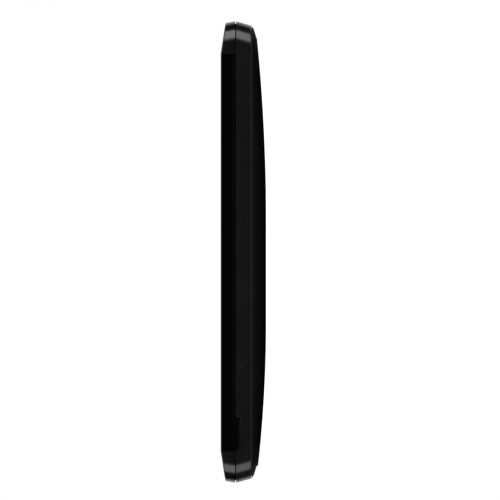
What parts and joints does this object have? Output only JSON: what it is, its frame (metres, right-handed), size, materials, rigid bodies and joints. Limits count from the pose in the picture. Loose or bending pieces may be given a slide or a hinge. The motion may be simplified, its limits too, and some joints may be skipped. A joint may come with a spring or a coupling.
{
  "type": "slider phone",
  "caption": "Slim portrait slider phone, closed: a display slab that slides up over a keypad deck, with a crowned release-latch back cover, side keys and its inner parts.",
  "frame": {"origin": "under the middle of the back, on the plane that the phone lies on", "axes": "+X to the phone's right side, +Y to its earpiece end, +Z out of its display"},
  "size_m": [0.051, 0.111, 0.0109],
  "materials": {
    "satin_shell": "dark grey satin moulded plastic",
    "cover_plastic": "soft matt black moulded plastic",
    "gloss_black": "polished black plastic",
    "deck_plastic": "fine satin black plastic",
    "key_plastic": "semi-gloss dark keycaps",
    "nav_metal": "satin plated ring",
    "select_plastic": "spun dark cap",
    "screen_glass": "polished clear window over a dark panel",
    "panel": "dark liquid crystal panel",
    "steel": "stamped stainless sheet",
    "runner_plastic": "acetal",
    "board": "solder-masked laminate",
    "flex": "polyimide film",
    "battery_wrap": "dark wrapped metal can",
    "black_parts": "black engineering plastic",
    "sim_metal": "stamped tin-plated tray",
    "grille_mesh": "black fine mesh",
    "flash_plastic": "clear ribbed lens"
  },
  "bodies": {
    "base": {"antenna_carrier": "black_parts", "base_frame": "satin_shell", "base_screws": "steel", "battery": "battery_wrap", "battery_contacts": "black_parts", "keypad_deck": "deck_plastic", "keypad_domes": "steel", "loudspeaker": "black_parts", "main_board": "board", "microphone": "black_parts", "rear_camera_module": "black_parts", "rear_chassis": "black_parts", "shield_cans": "steel", "side_switches": "black_parts", "sim_holder": "sim_metal", "slide_flex": "flex", "slide_guide_plate": "steel", "slide_runners": "runner_plastic", "slide_spring": "steel", "usb_port": "steel", "vibration_motor": "steel"},
    "cover": {"back_cover": "cover_plastic", "camera_trim": "steel", "camera_window": "screen_glass", "flash_lens": "flash_plastic"},
    "display": {"display_tray": "satin_shell", "front_bezel": "gloss_black", "display_window": "screen_glass", "lcd_panel": "panel", "lcd_frame": "steel", "earpiece_grille": "grille_mesh", "earpiece": "black_parts", "front_camera": "black_parts", "nav_board": "board", "nav_domes": "steel", "slide_rail_plate": "steel", "rail_screws": "steel"},
    "key_1": {"key_1": "key_plastic"},
    "key_2": {"key_2": "key_plastic"},
    "key_3": {"key_3": "key_plastic"},
    "key_4": {"key_4": "key_plastic"},
    "key_5": {"key_5": "key_plastic"},
    "key_6": {"key_6": "key_plastic"},
    "key_7": {"key_7": "key_plastic"},
    "key_8": {"key_8": "key_plastic"},
    "key_9": {"key_9": "key_plastic"},
    "key_star": {"key_star": "key_plastic"},
    "key_0": {"key_0": "key_plastic"},
    "key_hash": {"key_hash": "key_plastic"},
    "left_soft_key": {"left_soft_key": "key_plastic"},
    "right_soft_key": {"right_soft_key": "key_plastic"},
    "send_key": {"send_key": "key_plastic"},
    "end_key": {"end_key": "key_plastic"},
    "clear_key": {"clear_key": "key_plastic"},
    "nav_ring": {"nav_ring": "nav_metal"},
    "select_key": {"select_key": "select_plastic"},
    "camera_key": {"camera_key": "gloss_black"},
    "volume_rocker": {"volume_rocker": "satin_shell"}
  },
  "joints": [
    {"name": "slide_open", "type": "slide", "parent": "base", "child": "display", "axis": [0, 1, 0], "range_m": [0, 0.041], "deforming": ["slide_spring", "slide_flex"]},
    {"name": "cover_release", "type": "slide", "parent": "base", "child": "cover", "axis": [0, -1, 0], "range_m": [0, 0.0026]},
    {"name": "key_1_press", "type": "slide", "parent": "base", "child": "key_1", "axis": [0, 0, -1], "range_m": [0, 0.0002], "stiffness_N_per_m": 5000},
    {"name": "key_2_press", "type": "slide", "parent": "base", "child": "key_2", "axis": [0, 0, -1], "range_m": [0, 0.0002], "stiffness_N_per_m": 5000},
    {"name": "key_3_press", "type": "slide", "parent": "base", "child": "key_3", "axis": [0, 0, -1], "range_m": [0, 0.0002], "stiffness_N_per_m": 5000},
    {"name": "key_4_press", "type": "slide", "parent": "base", "child": "key_4", "axis": [0, 0, -1], "range_m": [0, 0.0002], "stiffness_N_per_m": 5000},
    {"name": "key_5_press", "type": "slide", "parent": "base", "child": "key_5", "axis": [0, 0, -1], "range_m": [0, 0.0002], "stiffness_N_per_m": 5000},
    {"name": "key_6_press", "type": "slide", "parent": "base", "child": "key_6", "axis": [0, 0, -1], "range_m": [0, 0.0002], "stiffness_N_per_m": 5000},
    {"name": "key_7_press", "type": "slide", "parent": "base", "child": "key_7", "axis": [0, 0, -1], "range_m": [0, 0.0002], "stiffness_N_per_m": 5000},
    {"name": "key_8_press", "type": "slide", "parent": "base", "child": "key_8", "axis": [0, 0, -1], "range_m": [0, 0.0002], "stiffness_N_per_m": 5000},
    {"name": "key_9_press", "type": "slide", "parent": "base", "child": "key_9", "axis": [0, 0, -1], "range_m": [0, 0.0002], "stiffness_N_per_m": 5000},
    {"name": "key_star_press", "type": "slide", "parent": "base", "child": "key_star", "axis": [0, 0, -1], "range_m": [0, 0.0002], "stiffness_N_per_m": 5000},
    {"name": "key_0_press", "type": "slide", "parent": "base", "child": "key_0", "axis": [0, 0, -1], "range_m": [0, 0.0002], "stiffness_N_per_m": 5000},
    {"name": "key_hash_press", "type": "slide", "parent": "base", "child": "key_hash", "axis": [0, 0, -1], "range_m": [0, 0.0002], "stiffness_N_per_m": 5000},
    {"name": "left_soft_key_press", "type": "slide", "parent": "display", "child": "left_soft_key", "axis": [0, 0, -1], "range_m": [0, 0.00018], "stiffness_N_per_m": 5000},
    {"name": "right_soft_key_press", "type": "slide", "parent": "display", "child": "right_soft_key", "axis": [0, 0, -1], "range_m": [0, 0.00018], "stiffness_N_per_m": 5000},
    {"name": "send_key_press", "type": "slide", "parent": "display", "child": "send_key", "axis": [0, 0, -1], "range_m": [0, 0.00018], "stiffness_N_per_m": 5000},
    {"name": "end_key_press", "type": "slide", "parent": "display", "child": "end_key", "axis": [0, 0, -1], "range_m": [0, 0.00018], "stiffness_N_per_m": 5000},
    {"name": "clear_key_press", "type": "slide", "parent": "display", "child": "clear_key", "axis": [0, 0, -1], "range_m": [0, 0.00018], "stiffness_N_per_m": 5000},
    {"name": "nav_ring_press", "type": "slide", "parent": "display", "child": "nav_ring", "axis": [0, 0, -1], "range_m": [0, 0.00018], "stiffness_N_per_m": 5000},
    {"name": "select_key_press", "type": "slide", "parent": "display", "child": "select_key", "axis": [0, 0, -1], "range_m": [0, 0.00018], "stiffness_N_per_m": 5000},
    {"name": "camera_key_press", "type": "slide", "parent": "base", "child": "camera_key", "axis": [-1, 0, 0], "range_m": [0, 0.0003], "stiffness_N_per_m": 4000},
    {"name": "volume_rocker_tilt", "type": "hinge", "parent": "base", "child": "volume_rocker", "pos_m": [-0.02495, 0.026, 0.0057], "axis": [0, 0, 1], "range_deg": [-1.8, 1.8], "stiffness_Nm_per_rad": 0.3}
  ]
}
